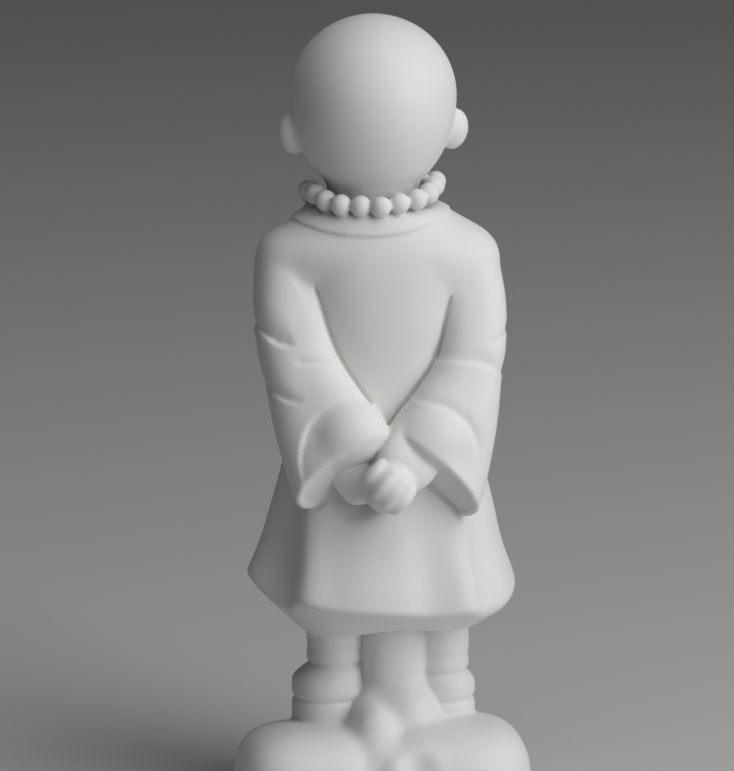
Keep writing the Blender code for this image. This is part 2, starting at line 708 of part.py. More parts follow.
def opened(grid):
    """The grid with its pinches filled, so that no two sheets of the surface meet in one cell."""
    rounds = 30
    just_inside = -1e-6
    for _ in range(rounds):
        inside = grid < 0
        filled = np.zeros_like(inside)
        for axis in range(3):
            a = np.moveaxis(inside, axis, 0)
            f = np.moveaxis(filled, axis, 0)
            p, q, r, s = a[:, :-1, :-1], a[:, 1:, :-1], a[:, :-1, 1:], a[:, 1:, 1:]
            pinch = (p == s) & (q == r) & (p != q)
            for view in (f[:, :-1, :-1], f[:, 1:, :-1], f[:, :-1, 1:], f[:, 1:, 1:]):
                view |= pinch
        corner = corners_of(inside)
        count = sum(c.astype(np.uint8) for c in corner)
        for first in range(4):
            here, across = corner[first], corner[7 - first]
            lone = (here == across) & (count == np.where(here, 2, 6))
            for view in corners_of(filled):
                view |= lone
        filled &= ~inside
        if not filled.any():
            break
        grid[filled] = just_inside
    return grid


def net_of(grid, low, step):
    """The zero surface of a grid as points and quads, one point in each cell that it crosses."""
    inside = grid < 0
    count = sum(c.astype(np.uint8) for c in corners_of(inside))
    cells = np.argwhere((count > 0) & (count < 8))
    index = np.full(count.shape, -1)
    index[tuple(cells.T)] = np.arange(len(cells))
    total, hits = np.zeros((len(cells), 3)), np.zeros(len(cells))
    quads = []
    for axis in range(3):
        unit = np.eye(3, dtype=int)[axis]
        side, other = np.eye(3, dtype=int)[(axis + 1) % 3], np.eye(3, dtype=int)[(axis + 2) % 3]
        for a in (0, 1):
            for b in (0, 1):
                start = cells + a * side + b * other
                first, last = grid[tuple(start.T)], grid[tuple((start + unit).T)]
                cross = (first < 0) != (last < 0)
                share = first[cross] / (first[cross] - last[cross])
                total[cross] += start[cross] + share[:, None] * unit
                hits[cross] += 1
        here = np.argwhere(np.diff(inside.astype(np.int8), axis=axis) != 0)
        going_in = ~inside[tuple(here.T)]
        around = [index[tuple((here - s).T)] for s in (0 * side, side, side + other, other)]
        quad = np.column_stack(around)
        quads.append(np.where(going_in[:, None], quad[:, ::-1], quad))
    return low + total / hits[:, None] * step, np.vstack(quads)


def whole(points, quads):
    """The largest connected surface alone."""
    label = np.arange(len(points))
    changed = True
    while changed:
        before = label.copy()
        least = label[quads].min(axis=1)
        for corner in quads.T:
            np.minimum.at(label, corner, least)
        label = label[label]
        changed = (label != before).any()
    kept = label == np.bincount(label).argmax()
    index = np.cumsum(kept) - 1
    return points[kept], index[quads[kept[quads[:, 0]]]]


def settled(points, distance, step, rounds=2):
    """Points moved onto the zero surface along the field's slope."""
    nudge = 0.1 * step
    for _ in range(rounds):
        here = distance(points, 3 * step)
        slope = np.column_stack([
            (distance(points + nudge * axis, 3 * step) - here) / nudge for axis in np.eye(3)
        ])
        pull = here / np.maximum((slope**2).sum(1), 0.25)
        points = points - np.clip(pull, -step / 2, step / 2)[:, None] * slope
    return points


def statue_mesh():
    sunk = 2 * GRID_STEP
    low = np.array([-0.56 * ROCK_WIDTH, -0.56 * ROCK_DEPTH, -sunk - 2 * GRID_STEP])
    high = np.array([0.56 * ROCK_WIDTH, 0.56 * ROCK_DEPTH, STANDING_LEVEL + FIGURE_HEIGHT + 3 * GRID_STEP])

    def distance(p, margin):
        d = statue_distance(p, margin)
        return np.maximum(d, -sunk - p[:, 2])

    grid = sampled(distance, low, high, GRID_STEP)
    points, quads = whole(*net_of(opened(grid), low, GRID_STEP))
    points = settled(points, distance, GRID_STEP)
    mesh = bpy.data.meshes.new("baby_monk")
    mesh.from_pydata(points.tolist(), [], quads.tolist())
    mesh.validate()
    return mesh


def white_bisque():
    material = bpy.data.materials.new("white_bisque")
    material.use_nodes = True
    shader = material.node_tree.nodes["Principled BSDF"]
    shader.inputs["Base Color"].default_value = (0.80, 0.79, 0.77, 1)
    shader.inputs["Roughness"].default_value = 0.55
    shader.inputs["Metallic"].default_value = 0.0
    return material


def thinned(mesh, triangles):
    """The mesh with fewer triangles where it is flat, cut off level at the underside."""
    obj = bpy.data.objects.new("baby_monk", mesh)
    bpy.context.scene.collection.objects.link(obj)
    thin = obj.modifiers.new("thin", "DECIMATE")
    thin.ratio = min(1.0, triangles / (2 * len(mesh.polygons)))
    graph = bpy.context.evaluated_depsgraph_get()
    shape = bmesh.new()
    shape.from_object(obj, graph)
    obj.modifiers.clear()
    bmesh.ops.bisect_plane(
        shape, geom=[*shape.verts, *shape.edges, *shape.faces],
        plane_co=(0, 0, 0), plane_no=(0, 0, -1), clear_outer=True,
    )
    rim = [e for e in shape.edges if e.is_boundary]
    bmesh.ops.holes_fill(shape, edges=rim, sides=0)
    bmesh.ops.triangulate(shape, faces=shape.faces)
    bmesh.ops.recalc_face_normals(shape, faces=shape.faces)
    shape.to_mesh(mesh)
    shape.free()
    mesh.shade_smooth()
    return obj


def main():
    for old in list(bpy.data.objects):
        bpy.data.objects.remove(old)
    statue = thinned(statue_mesh(), TRIANGLES)
    statue.data.materials.append(white_bisque())


main()
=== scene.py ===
"""Baby monk statue: the finished look of the one cast piece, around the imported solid.

The carved surface is worked out again from the same forms as the solid, on a finer grid and with
narrower seams at the sleeves. Axes are those of the solid: X to the figure's left, Y to its back,
Z up. The rock is in metres, and the figure in units of about a millimetre, from its soles.
"""

import math

import bmesh
import bpy
import numpy as np
from mathutils import Euler, Matrix, Vector


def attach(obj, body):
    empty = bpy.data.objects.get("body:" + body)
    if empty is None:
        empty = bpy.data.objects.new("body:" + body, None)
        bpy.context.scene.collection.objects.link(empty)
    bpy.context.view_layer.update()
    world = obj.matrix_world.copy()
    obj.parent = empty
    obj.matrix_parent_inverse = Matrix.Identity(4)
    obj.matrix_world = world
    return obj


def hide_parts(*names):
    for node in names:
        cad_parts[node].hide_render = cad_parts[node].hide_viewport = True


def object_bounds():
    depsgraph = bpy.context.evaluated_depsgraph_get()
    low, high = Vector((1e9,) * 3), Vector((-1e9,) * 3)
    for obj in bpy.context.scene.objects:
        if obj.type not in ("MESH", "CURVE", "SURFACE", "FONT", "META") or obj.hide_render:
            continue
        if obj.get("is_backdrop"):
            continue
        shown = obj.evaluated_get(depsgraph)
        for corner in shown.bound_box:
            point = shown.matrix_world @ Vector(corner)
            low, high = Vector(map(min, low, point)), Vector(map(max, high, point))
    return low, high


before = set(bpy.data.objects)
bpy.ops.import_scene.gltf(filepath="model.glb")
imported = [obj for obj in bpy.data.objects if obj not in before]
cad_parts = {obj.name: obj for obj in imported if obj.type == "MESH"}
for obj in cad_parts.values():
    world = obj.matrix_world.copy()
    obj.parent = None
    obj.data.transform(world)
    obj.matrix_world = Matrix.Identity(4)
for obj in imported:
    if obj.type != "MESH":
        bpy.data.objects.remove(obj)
CAD_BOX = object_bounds()

# Driving sizes, in metres
FIGURE_HEIGHT = 0.1329
STANDING_LEVEL = 0.016
ROCK_WIDTH = 0.0552
ROCK_DEPTH = 0.0526
GRID_STEP = 0.00042
TRIANGLES = 190000

# The figure's own proportions, in its carving units: the head's centre and radii set its height
HEAD_X = 1.2
HEAD_Z = 118.0
HEAD_RADII = (15.35, 15.5, 14.9)
HEAD_LOWER = 1.28
NECK_RADIUS = 8.4
UNIT = FIGURE_HEIGHT / (HEAD_Z + HEAD_RADII[2])

# A distance beyond every form, for points that none has reached
FAR = 1e3
GROOVE_BLEND = 0.4


def curve(x, knots, values):
    """A smooth line through the given values, read at x."""
    knots, values = np.asarray(knots, float), np.asarray(values, float)
    slope = np.diff(values) / np.diff(knots)
    tangent = np.concatenate([slope[:1], (slope[:-1] + slope[1:]) / 2, slope[-1:]])
    i = np.clip(np.searchsorted(knots, x) - 1, 0, len(knots) - 2)
    step = knots[i + 1] - knots[i]
    t = np.clip((x - knots[i]) / step, 0, 1)
    start = (1 + 2 * t) * (1 - t) ** 2 * values[i] + t * (1 - t) ** 2 * step * tangent[i]
    end = t * t * (3 - 2 * t) * values[i + 1] - t * t * (1 - t) * step * tangent[i + 1]
    return start + end


def ramp(x, low, high):
    """0 below low, 1 above high, smooth between."""
    t = np.clip((x - low) / (high - low), 0, 1)
    return t * t * (3 - 2 * t)


def bump(angle, centre, width):
    """1 at centre, falling away on both sides, for angles in degrees."""
    away = (angle - centre + 180) % 360 - 180
    return np.exp(-((away / width) ** 2))


def merged(a, b, blend):
    """The lower of two distances, with the seam filled over the blend width."""
    blend = np.maximum(blend, 1e-6)
    h = np.clip(0.5 + 0.5 * (b - a) / blend, 0, 1)
    return b * (1 - h) + a * h - blend * h * (1 - h)


class Form:
    """A distance function and the box that it stays in."""

    def __init__(self, low, high, distance):
        self.low, self.high, self.distance = np.array(low, float), np.array(high, float), distance


def ovals(u, v, wide, thin, power=2.0):
    """Distance to an oval of half-axes wide and thin, near enough for blending. A higher power squares it."""
    u, v = np.abs(u) / wide, np.abs(v) / thin
    share = np.maximum((u**power + v**power) ** (1 / power), 1e-6)
    slope = np.hypot((u / share) ** (power - 1) / wide, (v / share) ** (power - 1) / thin)
    return (share - 1) / np.maximum(slope, 0.5 / np.maximum(wide, thin))


def ellipsoid(centre, radii, turn=(0, 0, 0), lower=1.0, power=2.0):
    """turn is in degrees; lower stretches the half below the centre; a higher power makes it boxier."""
    centre, radii = np.array(centre, float), np.array(radii, float)
    matrix = np.array(Euler([math.radians(a) for a in turn]).to_matrix())

    def distance(p):
        q = (p - centre) @ matrix
        q[:, 2] = np.where(q[:, 2] < 0, q[:, 2] / lower, q[:, 2])
        shares = np.abs(q) / radii
        size = np.maximum((shares**power).sum(1) ** (1 / power), 1e-6)
        slope = np.linalg.norm((shares / size[:, None]) ** (power - 1) / radii, axis=1)
        return (size - 1) / np.maximum(slope, 1e-6)

    reach = radii.max() * max(1.0, lower)
    return Form(centre - reach, centre + reach, distance)


def smooth_line(points, pieces):
    """Points along a Catmull-Rom line through the given ones, pieces to each span."""
    points = np.array(points, float)
    ends = np.vstack([2 * points[0] - points[1], points, 2 * points[-1] - points[-2]])
    made = []
    for i in range(len(points) - 1):
        a, b, c, d = ends[i : i + 4]
        for t in np.arange(pieces) / pieces:
            made.append(b + 0.5 * t * (c - a + t * (2 * a - 5 * b + 4 * c - d + t * (3 * (b - c) + d - a))))
    return np.array([*made, points[-1]])


def sleeve(points, wides, thins, axes, pieces=4, power=2.0):
    """An oval section carried along a smooth line. axes are the directions of the wide half-axis."""
    stations = smooth_line(np.column_stack([points, wides, thins, axes]), pieces)

    def distance(p):
        nearest = np.full(len(p), FAR)
        for a, b in zip(stations[:-1], stations[1:]):
            line = b[:3] - a[:3]
            t = np.clip((p - a[:3]) @ line / (line @ line), 0, 1)
            here = a + t[:, None] * (b - a)
            away = p - here[:, :3]
            axis = here[:, 5:] / np.linalg.norm(here[:, 5:], axis=1)[:, None]
            u = np.einsum("ij,ij->i", away, axis)
            v = np.sqrt(np.maximum(np.einsum("ij,ij->i", away, away) - u * u, 0))
            nearest = np.minimum(nearest, ovals(u, v, here[:, 3], here[:, 4], power))
        return nearest

    reach = max(max(wides), max(thins))
    return Form(stations[:, :3].min(0) - reach, stations[:, :3].max(0) + reach, distance)


def tube(points, radii, pieces=4):
    """A round section carried along a smooth line."""
    stations = smooth_line(np.column_stack([points, np.broadcast_to(radii, len(points))]), pieces)

    def distance(p):
        nearest = np.full(len(p), FAR)
        for a, b in zip(stations[:-1], stations[1:]):
            line = b[:3] - a[:3]
            t = np.clip((p - a[:3]) @ line / (line @ line), 0, 1)
            away = p - (a[:3] + t[:, None] * line)
            nearest = np.minimum(nearest, np.linalg.norm(away, axis=1) - (a[3] + t * (b[3] - a[3])))
        return nearest

    reach = np.max(radii)
    return Form(stations[:, :3].min(0) - reach, stations[:, :3].max(0) + reach, distance)


def turned(centre, radius, low, high):
    """A form on an upright axis: centre and radius are functions of height."""

    def distance(p):
        z = p[:, 2]
        x, y = centre(z)
        side = 0.92 * (np.hypot(p[:, 0] - x, p[:, 1] - y) - radius(z))
        return np.maximum(side, np.maximum(low[2] - z, z - high[2]))

    return Form(low, high, distance)


class Clay:
    """Distances from a set of points to a shape that grows as forms are pressed on or cut away."""

    def __init__(self, points, margin):
        self.points, self.margin = points, margin
        self.depth = np.full(len(points), FAR)

    def _near(self, form):
        inside = (self.points > form.low - self.margin) & (self.points < form.high + self.margin)
        return np.flatnonzero(inside.all(axis=1))

    def add(self, form, blend=0.5, seam=None):
        """seam is the radius of the groove left where the new form meets the old ones, read at each point."""
        near = self._near(form)
        if not len(near):
            return
        old, new = self.depth[near], form.distance(self.points[near])
        width = blend(self.points[near]) if callable(blend) else blend
        both = merged(old, new, width)
        if seam:
            both = -merged(-both, np.hypot(old, new) - seam(self.points[near]), GROOVE_BLEND)
        self.depth[near] = both

    def carve(self, form, blend=0.5):
        near = self._near(form)
        if len(near):
            self.depth[near] = -merged(-self.depth[near], form.distance(self.points[near]), blend)


# The robe: half-widths and depths at heights above the soles
ROBE_Z = [16, 22, 28, 32, 36, 40, 46, 52, 60, 70, 80, 86, 90, 92.5, 94.5, 96.5, 98.2]
ROBE_HALF = [
    25.6, 24.9, 23.6, 22.2, 21.1, 20.4, 19.2, 17.9, 16.6, 15.9, 16.4, 17.6, 17.9, 16.9, 15.2, 13.0, 11.0,
]
ROBE_BACK = [
    21.0, 19.8, 18.8, 17.8, 16.9, 16.0, 14.7, 13.9, 13.2, 13.2, 13.6, 13.7, 13.4, 12.8, 12.1, 11.2, 10.0,
]
ROBE_FRONT = [
    22.0, 21.0, 20.2, 19.5, 18.8, 18.3, 17.8, 17.5, 17.2, 16.6, 15.4, 14.2, 13.2, 12.4, 11.6, 10.7, 9.6,
]
LEAN_Z = [0, 20, 44, 70, 92, 118]
LEAN_X = [-1.6, -0.7, -0.7, -0.1, 0.3, 1.1]
HEM_Z = 23.9
SOFT_EDGE = 0.9
UNDER_LEVEL = 18.8
ROBE_TOP = 97.3
COLLAR = ellipsoid((HEAD_X + 0.8, 0, 98), (15.3, 15.6, 7.0))
COLLAR_THICK = 0.55
# The two ridges that run down the skirt's back: degrees from straight back toward the left, by height
RIDGE_Z = [22, 33, 41, 47]
LEFT_RIDGE = [45, 48, 53, 58]
RIGHT_RIDGE = [-39, -40, -42, -44]


def robe_section(p):
    """Distance past the robe's outline at a point's own height, and the outline's radius before its folds."""
    x, y, z = p.T
    x = x - curve(z, LEAN_Z, LEAN_X)
    half = curve(z, ROBE_Z, ROBE_HALF)
    deep = np.where(y > 0, curve(z, ROBE_Z, ROBE_BACK), curve(z, ROBE_Z, ROBE_FRONT))
    power = 2.25 + 0.2 * ramp(z, 50, 30)
    share = ((np.abs(x) / half) ** power + (np.abs(y) / deep) ** power) ** (1 / power)
    out = np.hypot(x, y)
    angle = np.degrees(np.arctan2(x, y))
    left = curve(z, RIDGE_Z, LEFT_RIDGE)
    right = curve(z, RIDGE_Z, RIGHT_RIDGE)
    # Each fold: how far it stands out, its middle and its width in degrees
    folds = (
        1.3 * bump(angle, left, 10)
        - 3.0 * bump(angle, left + 18, 13)
        + 2.2 * bump(angle, 90, 10)
        + 0.4 * bump(angle, 18, 18)
        - 0.9 * bump(angle, -20, 12)
        + 0.9 * bump(angle, right, 9)
        - 1.1 * bump(angle, right - 12, 8)
        + 0.7 * bump(angle, -88, 14)
        + 1.0 * bump(angle, 140, 10)
        - 1.2 * bump(angle, 122, 10)
        + 1.0 * bump(angle, -142, 10)
        - 1.2 * bump(angle, -124, 10)
    )
    radius = out / np.maximum(share, 1e-6)
    return out - radius - ramp(z, 54, 26) * folds, angle, radius, out


def robe(p):
    beyond, angle, radius, out = robe_section(p)
    z = p[:, 2]
    hem = HEM_Z + 2.7 * bump(angle, 92, 60) - 0.9 * bump(angle, -52, 20) + 0.4 * bump(angle, -90, 45)
    rise = 0.46 + 0.40 * bump(angle, 90, 60) + 0.20 * bump(angle, -90, 40)
    level = UNDER_LEVEL - 1.6 * bump(angle, 90, 60)
    under_z = -merged((radius - out) * rise - hem, -level, 1.0)
    under = (under_z - z) / np.hypot(1, rise)
    side = 0.93 * beyond
    shape = -merged(-side, -under, SOFT_EDGE * (1 + 1.5 * bump(angle, -90, 50)))
    return -merged(-shape, ROBE_TOP - z, 1.5)


def collared(p, drape):
    """The draped robe with its collar band, which lies round the neck and stands out by COLLAR_THICK."""
    band = -merged(COLLAR_THICK - drape, -COLLAR.distance(p), 0.45)
    return merged(drape, band, 0.35)


# Legs: middle, radius, heights of the gathered cuff's two creases, how far the cuff swells and to which side
LEGS = [(8.4, 5.3, (4.8, 11.3), 1.5, 1.3), (-11.3, 5.4, (4.1, 9.3), 0.9, -0.3)]
SOLE_Y = 0.8
LEG_CREASE = 0.45


def leg(x, radius, cuff, puff, side):
    low, high = cuff
    middle = (low + high) / 2

    def gather(z):
        return ramp(z, high + 0.2, middle)

    def girth(z):
        lines = bump_at(z, low) + bump_at(z, high) + 0.4 * bump_at(z, high + 3)
        return radius + puff * gather(z) - LEG_CREASE * lines

    def centre(z):
        return x + side * gather(z), SOLE_Y

    reach = radius + puff + abs(side) + 1
    return turned(centre, girth, (x - reach, -reach, -3), (x + reach, reach + 2, 24))


def bump_at(z, height, width=0.55):
    return np.exp(-(((z - height) / width) ** 2))


def add_legs(clay):
    for x, radius, cuff, puff, side in LEGS:
        clay.add(leg(x, radius, cuff, puff, side), 0.8)
        clay.add(ellipsoid((x + 0.6 * side, -5.5, 1.6), (5.7, 9.3, 4.6)), 0.8)


ARMS = [
    dict(
        points=[
            (15.8, 2.2, 86.6), (16.7, 4.4, 79), (16.0, 6.8, 72), (14.3, 9.4, 66),
            (12.4, 12.6, 60.2), (9.6, 15.0, 53.6), (7.0, 18.2, 47.4),
        ],
        wides=[7.5, 7.2, 7.2, 7.6, 8.9, 10.2, 10.8],
        thins=[7.0, 7.2, 7.2, 7.0, 6.3, 6.4, 6.2],
        axes=[
            (1, 0, 0), (1, 0, 0), (0.96, 0, -0.3), (0.86, 0, -0.47),
            (0.76, -0.06, -0.64), (0.73, -0.08, -0.68), (0.73, -0.08, -0.68),
        ],
        opening=((9.2, 20.4, 54.6), (-0.42, 0.66, -0.62), 0.35),
    ),
    dict(
        points=[
            (-14.8, 2.2, 85.8), (-16.1, 4.8, 79), (-15.7, 7.4, 72), (-14.0, 10.0, 66),
            (-11.6, 13.2, 59.4), (-8.5, 15.2, 52.4), (-6.0, 18.4, 46.0),
        ],
        wides=[7.1, 6.7, 6.5, 6.9, 8.8, 10.6, 10.8],
        thins=[7.0, 7.2, 7.2, 7.0, 6.3, 6.8, 6.6],
        axes=[
            (1, 0, 0), (1, 0, 0), (0.96, 0, 0.3), (0.86, 0, 0.47),
            (0.76, 0.06, 0.64), (0.72, 0.1, 0.68), (0.72, 0.1, 0.68),
        ],
        opening=((-6.4, 21.0, 54.6), (0.54, 0.58, -0.61), 0.5),
    ),
]
SLEEVE_POWER = 2.5
CUFF_WALL = 1.2
CUFF_END_BLEND = 0.8
CUFF_FLOOR_BLEND = 1.0
CUFF_RIM_BLEND = 0.4
# Rounded swellings of the sleeves: (x, z) on the back, radii, and how far they stand out
SWELLINGS = [
    ((7.0, 59.4), (6.4, 5.2, 5.6), 0.9),
    ((-8.8, 58.0), (6.0, 5.0, 5.2), 0.9),
]
# Folds of the sleeves: (x, z) points of the edge, how far the cloth drops on the edge's left, and how far
# from it the drop reaches, both at even shares of its length
FOLDS = [
    (
        [(17.0, 74.0), (18.6, 73.8), (20.6, 74.2), (22.6, 75.4), (26.0, 77.6)],
        (0, 0.6, 0.9, 0.6, 0.2), (2.0, 3.4),
    ),
    (
        [(15.6, 64.3), (17.4, 63.9), (19.4, 64.2), (21.4, 65.2), (25.0, 67.0)],
        (0, 0.5, 0.6, 0.3, 0), (1.2, 2.0),
    ),
    (
        [(16.4, 48.5), (17.0, 54.0), (15.8, 59.2), (12.9, 62.8), (8.9, 64.6)],
        (0.1, 0.5, 0.9, 0.6, 0.1), (4.5, 1.6),
    ),
    ([(14.6, 80.6), (15.5, 82.8), (16.8, 85.2), (18.4, 87.8)], (0, 0.14, 0.12, 0), (2.2, 2.4)),
    ([(-26.0, 77.0), (-22.0, 74.4), (-19.6, 73.4), (-17.1, 74.3)], (0.2, 0.4, 0.3, 0), (1.2, 1.0)),
    ([(-19.8, 68.2), (-17.4, 69.6), (-14.5, 70.3), (-10.8, 70.5)], (0.5, 0.9, 0.6, 0.3), (1.8, 2.4)),
    (
        [(-16.0, 51.6), (-14.9, 56.6), (-12.9, 60.0), (-9.7, 62.5), (-5.8, 63.7)],
        (0.3, 0.7, 0.8, 0.6, 0.2), (1.6, 1.6),
    ),
]
# Width of a fold's edge, and how deep under the surface a fold is still worked out
FOLD_EDGE = 1.1
FOLD_REACH = 6.0


def cuffed(points, wides, thins, axes, opening):
    """A sleeve cut across at its opening, and hollowed inside it."""
    whole = sleeve(points, wides, thins, axes, 6, SLEEVE_POWER)
    at, along, depth = opening
    along = np.array(along) / np.linalg.norm(along)

    def distance(p):
        d = whole.distance(p)
        past = (p - at) @ along
        cut = -merged(-d, -past, CUFF_END_BLEND)
        hollow = -merged(-(d + CUFF_WALL), past + depth, CUFF_FLOOR_BLEND)
        return -merged(-cut, hollow, CUFF_RIM_BLEND)

    return Form(whole.low, whole.high, distance)


def folded(p, drape):
    """The drape with its folds pressed in, on the back and at the sides."""
    drape = drape.copy()
    for path, depths, reaches in FOLDS:
        line = smooth_line([(x, 0, z) for x, z in path], 3)[:, [0, 2]]
        low, high = line.min(0) - 2 * max(reaches), line.max(0) + 2 * max(reaches)
        flat = p[:, [0, 2]]
        beside = ((flat > low) & (flat < high)).all(axis=1)
        near = np.flatnonzero(beside & (p[:, 1] > 0) & (np.abs(drape) < FOLD_REACH))
        flat = flat[near]
        nearest, left, share = np.full(len(near), FAR), np.zeros(len(near)), np.zeros(len(near))
        for i, (a, b) in enumerate(zip(line[:-1], line[1:])):
            along, away = b - a, flat - a
            t = np.clip(away @ along / (along @ along), 0, 1)
            gap = np.linalg.norm(away - t[:, None] * along, axis=1)
            closer = gap < nearest
            nearest = np.where(closer, gap, nearest)
            left = np.where(closer, along[0] * away[:, 1] - along[1] * away[:, 0], left)
            share = np.where(closer, (i + t) / (len(line) - 1), share)
        aside = np.where(left > 0, nearest, -nearest)
        depth = np.interp(share, np.linspace(0, 1, len(depths)), depths)
        reach = np.interp(share, np.linspace(0, 1, len(reaches)), reaches)
        edge = ramp(aside, -FOLD_EDGE / 3, FOLD_EDGE * 2 / 3)
        drape[near] += depth * edge * np.exp(-((aside / reach) ** 2))
    return drape


# The seam's groove: its radius, the height where it starts, how much higher that is per unit toward the
# left, and the height over which it deepens
SEAM_RADIUS = 0.42
SEAM_TOP = 88.3
SEAM_SLANT = 0.09
SEAM_FADE = 9.0


def seam(p):
    """The groove between sleeve and back, which runs out on the shoulder."""
    top = SEAM_TOP + SEAM_SLANT * p[:, 0]
    return SEAM_RADIUS * (1.5 * ramp(top - p[:, 2], 0, SEAM_FADE) - 0.5)


def sleeve_blend(p):
    """Wide at the shoulder, tight below the armpit."""
    return 0.7 + 6.0 * ramp(p[:, 2] - SEAM_SLANT * p[:, 0], 81, 91)


FIST = np.array([0.8, 20.2, 48.9])
FIST_RADIUS = 5.0
FINGER_RADIUS = 1.3
FINGER_TIP = 1.1
FINGER_RISE = 0.35
FIRST_FINGER = np.array([2.9, 0, 2.7])
FINGER_STEP = np.array([-1.72, 0, -1.62])
FINGER_HALF = np.array([1.5, 0, -1.6])
HAND_BLEND = 0.3
# The robe is pressed in under the hands
HAND_POCKET = ellipsoid((6.2, 15.2, 45.6), (4.6, 4.0, 3.8))
LEFT_HAND = sleeve(
    points=[(10.4, 12.0, 56.0), (7.6, 14.4, 52.2), (5.0, 15.6, 49.0)],
    wides=[4.0, 4.6, 4.8],
    thins=[2.8, 3.4, 3.8],
    axes=[(0.62, 0, -0.78)] * 3,
)
RIGHT_PALM = sleeve(
    points=[(-8.8, 14.6, 59.6), (-5.0, 17.2, 55.6), (-2.4, 19.0, 52.7), (-0.6, 19.2, 50.8)],
    wides=[5.8, 5.9, 5.6, 4.4],
    thins=[3.0, 3.2, 3.0, 2.8],
    axes=[(0.75, 0, 0.66)] * 4,
    power=3.0,
)


def add_hands(clay):
    """The right hand lies over the left one and closes round it."""
    clay.carve(HAND_POCKET, 2.0)
    clay.add(LEFT_HAND, HAND_BLEND)
    clay.add(RIGHT_PALM, HAND_BLEND)
    clay.add(ellipsoid(FIST, (FIST_RADIUS,) * 3), 0.7)
    for finger in range(4):
        middle = FIRST_FINGER + finger * FINGER_STEP
        along = []
        for share in (-1, -0.3, 0.4, 1):
            v = middle + share * FINGER_HALF
            v[1] = math.sqrt(FIST_RADIUS**2 - min(v @ v, 0.9 * FIST_RADIUS**2)) + FINGER_RISE - FINGER_RADIUS
            along.append(FIST + v)
        clay.add(tube(along, [FINGER_TIP, FINGER_RADIUS, FINGER_RADIUS, FINGER_TIP]), HAND_BLEND)


# Creases: (x, z) points on the surface, radius of the groove, its depth at the first and at the last point
BACK_CREASES = [([(17.0, 71.2), (13.4, 71.3), (10.3, 71.5)], 1.0, 0.3, 0.1)]
CREASE_BLEND = 0.4


def laid(path, surface, side):
    """Points of a path (x, z) on the surface from the back (side 1) or the front (-1), with the normals."""
    points = smooth_line([(x, side * 32.0, z) for x, z in path], 4)
    for _ in range(40):
        points[:, 1] -= 0.7 * side * surface(points)
    nudge = 0.05
    normals = np.column_stack([
        surface(points + nudge * axis) - surface(points - nudge * axis) for axis in np.eye(3)
    ])
    return points, normals / np.linalg.norm(normals, axis=1)[:, None]


def creases(paths, surface, side):
    made = []
    for path, radius, first, last in paths:
        points, normals = laid(path, surface, side)
        along = np.linspace(0, 1, len(points))
        deep = (first + (last - first) * along) * np.minimum(1, 3 * np.sin(math.pi * along) + 0.15)
        made.append(tube(points + (radius - deep)[:, None] * normals, [radius] * len(points), 1))
    return made


def set_in(form, at, radii, out, side=1):
    """An ellipsoid that stands out of a surface at (x, z), on the back (side 1) or the front (-1)."""
    points, normals = laid([at, at], form, side)
    return ellipsoid(points[0] + (out - radii[1]) * normals[0], radii)


def sleeved(p, margin):
    """The robe with its sleeves alone."""
    clay = Clay(p, margin)
    clay.add(Form((-32, -26, 12), (32, 26, 102), robe), 0.8)
    for arm in ARMS:
        clay.add(cuffed(**arm), sleeve_blend, seam)
    return clay.depth


def reach_all(form):
    """The form as a function of points alone, true far from it too."""
    return lambda p: form(p, 80)


HEAD = ellipsoid((HEAD_X, 0, HEAD_Z), HEAD_RADII, lower=HEAD_LOWER)
EYE_Z = 112.6
MOUTH_Z = 104.4
# Forms of the face, the paired ones on both sides: x from the middle, z, radii, how far out, blend
FEATURES = [
    (7.2, 106.6, (5.4, 4.8, 4.8), 3.4, 3.0),
    (5.6, EYE_Z + 0.5, (3.3, 2.0, 2.0), 0.7, 1.8),
    (5.4, EYE_Z + 4.2, (3.2, 1.1, 0.7), 0.25, 0.9),
    (0, 111.4, (1.2, 1.7, 2.8), 1.0, 1.6),
    (0, 108.8, (1.6, 1.5, 1.3), 2.9, 1.0),
    (1.2, 108.4, (0.95, 1.0, 0.85), 2.0, 0.4),
    (0, 105.8, (3.3, 2.2, 2.1), 2.5, 1.8),
    (0, 102.8, (3.0, 2.6, 2.0), 2.2, 1.6),
]
EYE_LINE = [(2.8, 0.5), (4.1, -0.5), (5.6, -0.9), (7.1, -0.6), (8.5, 0.4)]
MOUTH_LINE = [(-2.5, 0.7), (-1.3, 0.0), (0, -0.15), (1.3, 0.0), (2.5, 0.7)]
CREASE_RADIUS = 0.5
CREASE_DEPTH = 0.45
FACE_CREASES = [
    ([(HEAD_X + x, EYE_Z + z) for x, z in EYE_LINE], CREASE_RADIUS, CREASE_DEPTH, CREASE_DEPTH),
    ([(HEAD_X - x, EYE_Z + z) for x, z in EYE_LINE], CREASE_RADIUS, CREASE_DEPTH, CREASE_DEPTH),
    ([(HEAD_X + x, MOUTH_Z + z) for x, z in MOUTH_LINE], CREASE_RADIUS, CREASE_DEPTH, CREASE_DEPTH),
]
# Ears: how far out their middles are as a share of the head's half-width, and each one's side and height
EAR_SET = 0.96
EARS = [(1, 111.2), (-1, 111.5)]
FACE_FORMS = [
    (set_in(HEAD.distance, (HEAD_X + side * x, z), radii, out, -1), blend)
    for x, z, radii, out, blend in FEATURES
    for side in ((-1, 1) if x else (1,))
]


